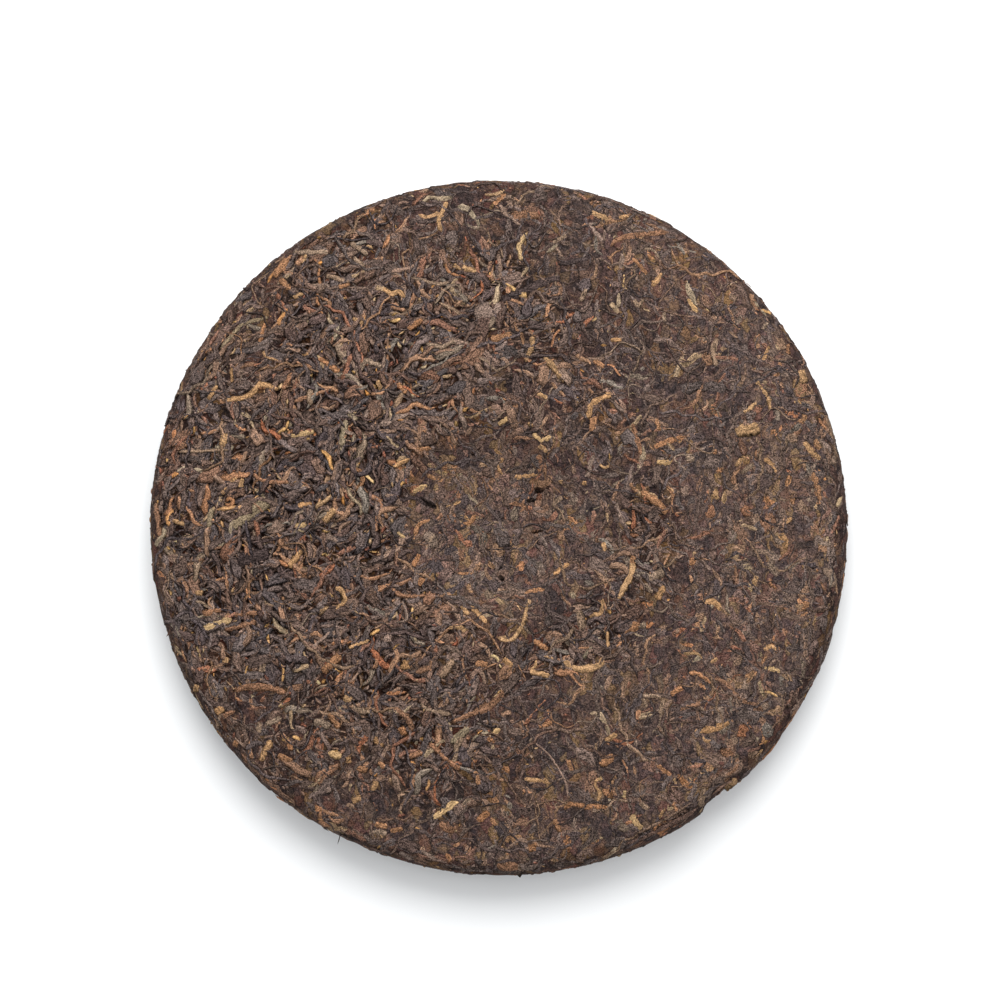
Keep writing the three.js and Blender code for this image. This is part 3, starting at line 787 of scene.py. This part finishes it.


# leaves that stand out in the photograph, read from it: the width and then the middle line,
# all in its pixels
photoLeaves = {
    "paleGold": {"colour": "#a1845f", "lines": (
        (5, 528, 232, 518, 245, 522, 261), (5, 687, 298, 698, 313), (6, 290, 437, 315, 431),
        (8, 202, 628, 217, 625, 232, 618), (7, 295, 528, 307, 525), (6, 412, 493, 428, 485),
        (4, 498, 425, 508, 418), (5, 532, 433, 542, 441, 552, 436), (3, 397, 532, 405, 538),
        (6, 656, 461, 672, 463), (5, 748, 583, 752, 592), (7, 327, 753, 342, 756),
        (5, 493, 735, 499, 728), (7, 432, 819, 447, 808, 460, 800), (4, 599, 780, 602, 778),
        (4, 625, 790, 623, 798), (5, 760, 666, 782, 672), (7, 630, 815, 642, 830),)},
    "gold": {"colour": "#8f6f4f", "lines": (
        (6, 222, 400, 245, 399, 258, 390, 256, 382, 280, 390), (4, 208, 400, 217, 385),
        (3, 231, 367, 232, 383), (4, 293, 298, 303, 293), (4, 352, 318, 364, 323),
        (4, 377, 380, 381, 390), (6, 452, 265, 478, 272), (5, 382, 287, 392, 295, 400, 290, 405, 299),
        (5, 525, 362, 532, 348, 532, 335), (6, 543, 355, 567, 382), (4, 537, 393, 548, 398),
        (6, 590, 211, 612, 222), (4, 618, 217, 630, 216), (6, 588, 420, 590, 405, 613, 392),
        (4, 610, 340, 622, 340), (5, 662, 272, 652, 287), (5, 770, 345, 763, 362),
        (5, 755, 380, 768, 397, 771, 412), (5, 758, 402, 743, 413), (7, 222, 447, 225, 433),
        (5, 215, 510, 238, 507, 253, 503, 260, 493), (5, 222, 495, 227, 487), (5, 240, 488, 243, 478),
        (4, 230, 482, 237, 477), (6, 288, 568, 302, 550), (5, 297, 506, 312, 503),
        (5, 333, 613, 347, 600, 340, 587, 333, 590), (3, 348, 648, 370, 640), (4, 172, 520, 185, 525),
        (5, 195, 593, 203, 593), (4, 392, 467, 410, 459), (5, 492, 447, 505, 457, 497, 468, 507, 478),
        (6, 512, 478, 540, 473), (5, 538, 445, 548, 452), (4, 528, 422, 533, 427),
        (5, 462, 605, 468, 615), (5, 470, 605, 487, 623), (5, 448, 627, 460, 627, 468, 633),
        (4, 528, 602, 523, 625, 510, 643, 497, 637), (5, 552, 575, 570, 562), (5, 603, 542, 605, 552),
        (4, 588, 617, 602, 613, 603, 598), (6, 617, 601, 633, 571, 632, 560), (3, 607, 630, 608, 648),
        (16, 734, 428, 760, 425), (8, 802, 442, 813, 457, 822, 460), (6, 763, 458, 773, 463, 781, 479),
        (5, 735, 467, 745, 455), (7, 713, 490, 718, 500), (5, 785, 522, 794, 518),
        (9, 777, 532, 785, 540, 782, 550), (7, 757, 575, 753, 590), (6, 657, 600, 665, 585),
        (7, 702, 603, 714, 601, 723, 611), (5, 763, 650, 771, 646, 777, 650), (6, 226, 657, 225, 663),
        (8, 215, 713, 224, 707), (7, 193, 688, 199, 688), (7, 343, 698, 352, 700),
        (6, 373, 738, 383, 747), (6, 346, 760, 351, 760), (6, 352, 802, 362, 797),
        (6, 372, 792, 378, 778), (9, 401, 665, 409, 665), (6, 503, 658, 512, 667),
        (5, 529, 671, 550, 676), (6, 560, 658, 575, 670, 603, 667, 602, 655),
        (4, 597, 803, 601, 793, 593, 783, 602, 777), (6, 605, 742, 617, 733), (5, 523, 779, 552, 782),
        (4, 710, 663, 718, 658), (3, 702, 737, 705, 741, 712, 741), (5, 700, 775, 715, 765),
        (5, 582, 483, 586, 483), (5, 559, 482, 562, 482), (5, 447, 200, 438, 222, 442, 233),
        (7, 323, 522, 335, 508), (7, 692, 731, 717, 728, 732, 722), (6, 261, 762, 265, 750, 272, 740),
        (5, 725, 790, 737, 779),)},
    "orange": {"colour": "#845f44", "lines": (
        (4, 265, 322, 259, 343), (7, 273, 277, 288, 258), (6, 280, 278, 290, 290),
        (4, 338, 287, 350, 284), (8, 490, 340, 513, 335), (5, 493, 205, 507, 192),
        (5, 593, 360, 605, 367), (5, 397, 383, 407, 393), (6, 407, 330, 423, 318),
        (4, 632, 257, 648, 275), (5, 413, 542, 418, 523, 435, 518), (5, 413, 567, 420, 553),
        (6, 418, 585, 423, 578), (5, 520, 593, 548, 588), (5, 533, 640, 548, 650),
        (5, 568, 515, 577, 525), (7, 594, 416, 592, 432), (5, 656, 418, 660, 432),
        (6, 652, 448, 672, 440, 690, 437), (6, 770, 432, 776, 432), (6, 717, 470, 723, 470),
        (8, 790, 502, 795, 502), (8, 693, 557, 693, 566), (8, 630, 560, 635, 560),
        (6, 796, 615, 811, 602), (3, 797, 618, 809, 612), (4, 415, 450, 432, 448),
        (3, 457, 573, 473, 574), (6, 328, 713, 340, 728), (6, 277, 755, 292, 762),
        (6, 287, 747, 293, 747), (4, 378, 762, 385, 768), (6, 355, 768, 368, 770),
        (6, 233, 742, 238, 745), (6, 313, 808, 323, 810), (6, 373, 823, 388, 827),
        (6, 475, 663, 488, 665), (6, 400, 727, 405, 735), (5, 487, 738, 495, 743),
        (5, 538, 727, 553, 722), (5, 567, 758, 572, 772), (6, 500, 770, 510, 770),
        (5, 475, 770, 480, 788), (6, 493, 797, 498, 805), (7, 477, 822, 490, 812),
        (5, 490, 818, 497, 825), (6, 562, 813, 568, 802, 587, 807, 597, 805, 612, 810),
        (10, 598, 762, 615, 758), (10, 603, 794, 614, 793), (7, 555, 818, 562, 832),
        (5, 447, 853, 450, 862), (5, 390, 832, 403, 828), (10, 528, 847, 537, 847),
        (5, 762, 665, 767, 655), (4, 687, 673, 698, 673, 712, 685), (4, 697, 683, 708, 690),
        (6, 670, 695, 683, 687), (5, 655, 763, 672, 777), (5, 673, 802, 678, 812),
        (4, 225, 502, 230, 497, 234, 502, 229, 507, 225, 503),
        (4, 343, 470, 358, 468, 364, 480, 355, 492), (8, 813, 470, 818, 488, 818, 507),
        (8, 632, 632, 638, 622), (7, 640, 491, 655, 500, 663, 508, 666, 515),
        (8, 322, 673, 335, 660, 341, 655), (5, 317, 357, 340, 373),)},
    "foxBrown": {"colour": "#745541", "lines": (
        (5, 702, 382, 697, 402, 680, 413), (5, 223, 630, 257, 622), (5, 232, 615, 270, 612),
        (5, 155, 502, 160, 538), (4, 390, 588, 403, 597, 427, 595),
        (7, 505, 687, 498, 700, 490, 707, 473, 713, 450, 723),
        (6, 232, 692, 243, 687, 267, 687, 288, 693), (12, 722, 756, 734, 752),
        (5, 712, 678, 727, 683, 737, 695, 745, 703, 757, 703), (5, 502, 502, 528, 505, 510, 522),
        (6, 282, 390, 293, 372), (4, 292, 402, 338, 387), (5, 223, 717, 235, 710),
        (6, 292, 688, 303, 687), (5, 415, 673, 432, 667), (5, 632, 422, 642, 457),
        (2.5, 735, 563, 737, 585), (5, 428, 742, 445, 758, 462, 770), (6, 408, 757, 423, 752),
        (8, 440, 820, 447, 830, 458, 827), (6, 678, 710, 702, 703),
        (4, 248, 468, 257, 478, 267, 482, 290, 482), (10, 497, 862, 518, 870), (11, 512, 218, 540, 212),
        (6, 608, 250, 615, 238, 640, 235, 670, 232), (6, 392, 707, 408, 717, 412, 732),
        (10, 704, 352, 710, 366),)},
    "tan": {"colour": "#736050", "lines": (
        (5, 292, 252, 330, 252), (4, 325, 275, 350, 282), (5, 350, 242, 368, 255),
        (4, 353, 257, 365, 267), (10, 338, 342, 348, 365), (5, 355, 377, 365, 360, 383, 367),
        (3, 433, 307, 445, 288, 457, 282, 463, 290, 455, 300), (3, 438, 302, 452, 308, 470, 322),
        (3, 410, 277, 440, 285, 450, 282), (5, 552, 243, 567, 235), (5, 580, 302, 587, 287),
        (4, 420, 340, 440, 348, 457, 340), (6, 720, 332, 713, 348, 717, 367),
        (4, 633, 298, 638, 307, 645, 298), (4, 663, 312, 665, 322), (4, 762, 330, 768, 322),
        (3, 177, 452, 230, 450), (6, 552, 507, 563, 495), (8, 578, 610, 583, 630),
        (8, 685, 458, 695, 458), (7, 767, 562, 777, 572), (8, 648, 578, 665, 572),
        (4, 645, 583, 652, 593), (9, 259, 668, 266, 667), (7, 313, 723, 322, 722, 330, 728),
        (6, 258, 733, 260, 722), (5, 265, 725, 282, 717), (6, 368, 832, 388, 832),
        (7, 440, 678, 448, 668, 453, 658), (6, 462, 808, 470, 798), (4, 642, 695, 662, 697),
        (5, 663, 697, 660, 718), (4, 642, 698, 647, 708), (6, 640, 802, 648, 810),
        (5, 700, 807, 705, 788), (5, 420, 702, 423, 708, 435, 712, 452, 714),)},
    "olive": {"colour": "#72634f", "lines": (
        (4, 219, 350, 242, 323, 270, 317), (12, 230, 528, 270, 498), (5, 208, 528, 212, 508),
        (2.5, 293, 535, 297, 530, 305, 532), (6, 340, 453, 346, 418),
        (7, 450, 743, 463, 733, 470, 728),)},
    "pinkGrey": {"colour": "#7c675b", "lines": (
        (15, 474, 316, 502, 305), (4, 390, 272, 416, 266), (4, 588, 222, 603, 242),
        (3, 312, 648, 330, 632), (10, 384, 637, 392, 637), (10, 681, 492, 689, 492),
        (10, 323, 788, 331, 788), (8, 742, 696, 748, 696), (4, 305, 759, 309, 759),
        (4, 317, 763, 321, 763), (1.7, 534, 742, 547, 752, 558, 767, 567, 783, 568, 798),)},
    "slate": {"colour": "#3a302e", "lines": (
        (7, 498, 302, 562, 275), (5, 557, 265, 590, 258), (4, 702, 440, 715, 437, 730, 448),
        (2.5, 250, 543, 283, 538), (3, 398, 452, 417, 418), (14, 235, 562, 270, 552),
        (14, 492, 516, 505, 514), (3, 587, 336, 592, 340, 588, 345),
        (2, 756, 502, 758, 515, 768, 523, 790, 530),)},
}


def photoShape(rng, marks, stations):
    count = len(marks)
    x, y, width = np.zeros((count, stations)), np.zeros((count, stations)), np.zeros(count)
    t = np.linspace(-1, 1, stations)[None]
    for n, mark in enumerate(marks):
        width[n] = mark[0] * pixel * photo["leafWidth"]
        corners = np.array([faceFromPhoto(*corner) for corner in zip(mark[1::2], mark[2::2])])
        reach = np.concatenate(([0], np.cumsum(np.hypot(*np.diff(corners, axis=0).T))))
        even = np.linspace(0, reach[-1], stations)
        line = np.stack([np.interp(even, reach, corners[:, axis]) for axis in (0, 1)])
        for _ in range(2):
            line[:, 1:-1] = (line[:, :-2] + 2 * line[:, 1:-1] + line[:, 2:]) / 4
        x[n], y[n] = line
    reach = rng.uniform(0.12, 0.3, count)[:, None]
    length = np.hypot(x[:, -1:] - x[:, :1], y[:, -1:] - y[:, :1]) + 0.1
    side = rng.uniform(-1, 1, (count, stations)) * np.minimum(width[:, None] * 0.1, 0.15)
    x = x - side * (y[:, -1:] - y[:, :1]) / length
    y = y + side * (x[:, -1:] - x[:, :1]) / length
    loose = looseness(x.mean(1), y.mean(1))
    height = np.clip(width * 0.45, 0.3, 0.8) * mix(0.7, 1, loose)
    body = np.clip(1 - np.abs(t) ** 3, 0, 1) ** reach
    ragged = 0.28 * np.minimum(1, length / (5 * width[:, None]))
    crest = mix(0.01, 0.32, loose)
    edges = 1 + ragged * rng.uniform(-1, 1, (count, stations))
    lumps = 1 + 0.2 * rng.uniform(-1, 1, (count, stations))
    return {
        "x": x, "y": y,
        "half": width[:, None] / 2 * body * edges,
        "rise": height[:, None] * np.maximum(body, 0.3) * lumps,
        "crinkle": 1 + 0.15 * rng.uniform(-1, 1, (count, stations, len(budSection))),
        "base": np.repeat((crest - height)[:, None], stations, 1),
        "roll": (rng.normal(0, 0.12, count))[:, None] + rng.normal(0, 0.15, count)[:, None] * t,
        "tipLight": rng.normal(0, 0.2, count),
        "loose": loose,
        "dull": np.clip(1 - 0.07 * (width - 1.7), 0.8, 1),
    }


# metres and watts
studio = {
    "floorReach": 3.0,
    "floorColour": "#e6e7e7",
    "skyColour": (0.99, 1, 1.02, 1),
    "skyStrength": 0.89,
    "lamps": {
        "key_softbox": {"place": (0.08, 0.62, 0.62), "size": 0.95, "power": 12.3},
        "fill_softbox": {"place": (0.8, 0.1, 1.2), "size": 1.2, "power": 2},
    },
}


def addStage():
    floorMesh = bpy.data.meshes.new("floor")
    reach = studio["floorReach"]
    corners = [(-reach, -reach, 0), (reach, -reach, 0), (reach, reach, 0), (-reach, reach, 0)]
    floorMesh.from_pydata(corners, [], [(0, 1, 2, 3)])
    floor = bpy.data.objects.new("floor", floorMesh)
    bpy.context.scene.collection.objects.link(floor)
    paper = bpy.data.materials.new("white_paper_sweep")  # matt white card, which shows no texture
    paper.use_nodes = True
    shader = paper.node_tree.nodes["Principled BSDF"]
    shader.inputs["Base Color"].default_value = (*linearColour(studio["floorColour"]), 1)
    shader.inputs["Roughness"].default_value = 0.9
    floorMesh.materials.append(paper)

    world = bpy.data.worlds.new("studio")
    world.use_nodes = True
    sky = world.node_tree.nodes["Background"]
    sky.inputs["Color"].default_value = studio["skyColour"]
    sky.inputs["Strength"].default_value = studio["skyStrength"]
    bpy.context.scene.world = world
    bpy.context.scene.view_settings.view_transform = "Standard"

    for name, lamp in studio["lamps"].items():
        light = bpy.data.lights.new(name, "AREA")
        light.shape = "DISK"
        light.size = lamp["size"]
        light.energy = lamp["power"]
        softbox = bpy.data.objects.new(name, light)
        softbox.location = lamp["place"]
        softbox.rotation_euler = (-Vector(lamp["place"])).to_track_quat("-Z", "Y").to_euler()
        bpy.context.scene.collection.objects.link(softbox)


addStage()
print("camera and stage made")

# sizes and depths in mm; slate, gold and red flakes have the noise values where they begin and are
# full, the most that they cover, and their colour
finishes = {
    "leaf": {"fibreLength": 2.1, "fibreSpacing": 0.46, "fibreContrast": 0.42, "speckSize": 0.36,
             "speckContrast": (0.92, 0.46), "roughness": 0.7, "wrinkleDepth": 0.3, "ior": 1.45,
             "specular": 0.04},
    "dust": {"swirlSize": 3.2, "patchSize": 9, "dustSize": 0.4, "dustContrast": 0.62, "flakeSize": 2.6,
             "flakeBend": 2.2, "flakeContrast": 0.08, "crackShade": 0.6, "roughness": 0.78,
             "wrinkleDepth": 0.5, "ior": 1.45, "specular": 0.04,
             "slate": (0.53, 0.6, 0.7, "#393131"), "gold": (0.86, 0.93, 0.55, "#836349"),
             "red": (0.8, 0.88, 0.5, "#66483d"), "hueSwing": (0.488, 0.514), "richness": (1.12, 0.9),
             "browns": ((0.3, "#332c2c"), (0.4, "#433734"), (0.5, "#52433f"), (0.6, "#614e45"),
                        (0.7, "#6f594a"))},
}
rolledLeaf = rolledLeafMaterial(finishes["leaf"])
addCore(feltedDustMaterial(finishes["dust"]))
print("core made")

for kindNumber, (kindName, kind) in enumerate(leafKinds.items()):
    for zoneNumber, (zone, count) in enumerate(kind["count"].items()):
        rng = np.random.default_rng(357 + 10 * kindNumber + zoneNumber)
        shape = leafShape(rng, kind, zone, count)
        perLeaf = 2 * len(kind["section"]) * (kind["stations"] - 2)
        parts = math.ceil(len(shape["tint"]) * perLeaf / pieceLimit)
        for part in range(parts):
            some = {key: value[part::parts] for key, value in shape.items()}
            name = "_".join((kindName, zone, str(part + 1)))
            addPiece(name, joinedLeaves(name, some, placeIn[zone], kind["section"]), rolledLeaf)
    print(kindName, "made")

rng = np.random.default_rng(91)
for name, group in photoLeaves.items():
    shape = photoShape(rng, group["lines"], 13)
    shape["tint"] = pickColours(rng, ((group["colour"], 1),), len(group["lines"]), 0.1, 0.03)
    shape["tint"] = mix(feltColour, shape["tint"], mix(*ownColour["fromPhoto"], shape["loose"])[:, None])
    shape["tint"] = shape["tint"] * shape.pop("dull")[:, None]
    pieceName = "marked_" + name
    addPiece(pieceName, joinedLeaves(pieceName, shape, placeOnFace, budSection), rolledLeaf)
print("leaves of the photograph made")

# what stands out of the outline: where it is in degrees and mm below the face's edge, how far its
# end reaches out, and its size
rimBits = {
    "liftedFlake": {
        "degrees": (-71, -54.1), "down": (2.8, 2.4), "out": (-0.6, 1.3),
        "width": 2.4, "colour": "#54423a",
    },
    "flakeEdge": {
        "degrees": (-66, -54.7), "down": (0.4, 0.2), "out": (-0.1, 0.9),
        "width": 0.9, "colour": "#635043",
    },
    "topCurl": {
        "degrees": (74, 72.6), "down": (1.5, 3), "out": (-0.2, 1.5),
        "width": 1.3, "colour": "#4a3a33",
    },
    "upperLeftChip": {
        "degrees": (135.8, 136.8), "down": (2, 3.5), "out": (-0.3, 1.2),
        "width": 1.6, "colour": "#2f2624",
    },
    "leftChip": {
        "degrees": (142, 143), "down": (2, 3.2), "out": (-0.3, 1.0),
        "width": 1.4, "colour": "#3a2e2a",
    },
    "leftStem": {
        "degrees": (152, 153.4), "down": (3, 4), "out": (-0.3, 1.1),
        "width": 1, "colour": "#4d3a31",
    },
    "lowerLeftStem": {
        "degrees": (197.5, 198.6), "down": (3, 4.5), "out": (-0.3, 1.0),
        "width": 0.9, "colour": "#4d3a31",
    },
    "blackFibre": {
        "degrees": (243.2, 243.7), "down": (4, 5.5), "out": (-0.3, 2.9),
        "width": 0.45, "colour": "#2a211f",
    },
    "paleChip": {
        "degrees": (2.4, 4.2), "down": (1.5, 3), "out": (0.1, 0.9),
        "width": 1.6, "colour": "#9a8468",
    },
    "rightFibre": {
        "degrees": (16.4, 17.9), "down": (2, 3), "out": (-0.2, 1.2),
        "width": 0.5, "colour": "#6b5040",
    },
}


def rimBitShape(rng, bits, stations):
    t = np.linspace(0, 1, stations)[None]
    span = {key: np.array([bit[key] for bit in bits]) for key in ("degrees", "down", "out")}
    x, y, out = (mix(ends[:, :1], ends[:, 1:], t ** power) for ends, power in (
        (np.radians(span["degrees"]) * cakeForm["radius"], 1), (span["down"], 1), (span["out"], 2)))
    width = np.array([bit["width"] for bit in bits])[:, None]
    body = np.clip(1 - np.abs(2 * t - 1) ** 3, 0, 1) ** 0.4 * mix(1.1, 0.6, t)
    height = np.clip(width * 0.4, 0.3, 0.7)
    return {
        "x": x, "y": y,
        "half": width / 2 * body * (1 + 0.2 * rng.uniform(-1, 1, x.shape)),
        "rise": height * np.maximum(body, 0.3),
        "crinkle": 1 + 0.15 * rng.uniform(-1, 1, (*x.shape, len(budSection))),
        "base": out - height * 0.5,
        "roll": rng.normal(0, 0.15, x.shape),
        "tint": np.array([linearColour(bit["colour"]) for bit in bits]),
        "tipLight": rng.normal(0, 0.15, len(bits)),
        "loose": np.full(len(bits), 0.3),
    }


bitShape = rimBitShape(rng, list(rimBits.values()), 10)
addPiece("rim_bits", joinedLeaves("rim_bits", bitShape, placeOnRim, budSection), rolledLeaf)

meshes = [thing.data for thing in bpy.data.objects if thing.type == "MESH"]
print("triangles", sum(len(face.vertices) - 2 for mesh in meshes for face in mesh.polygons))
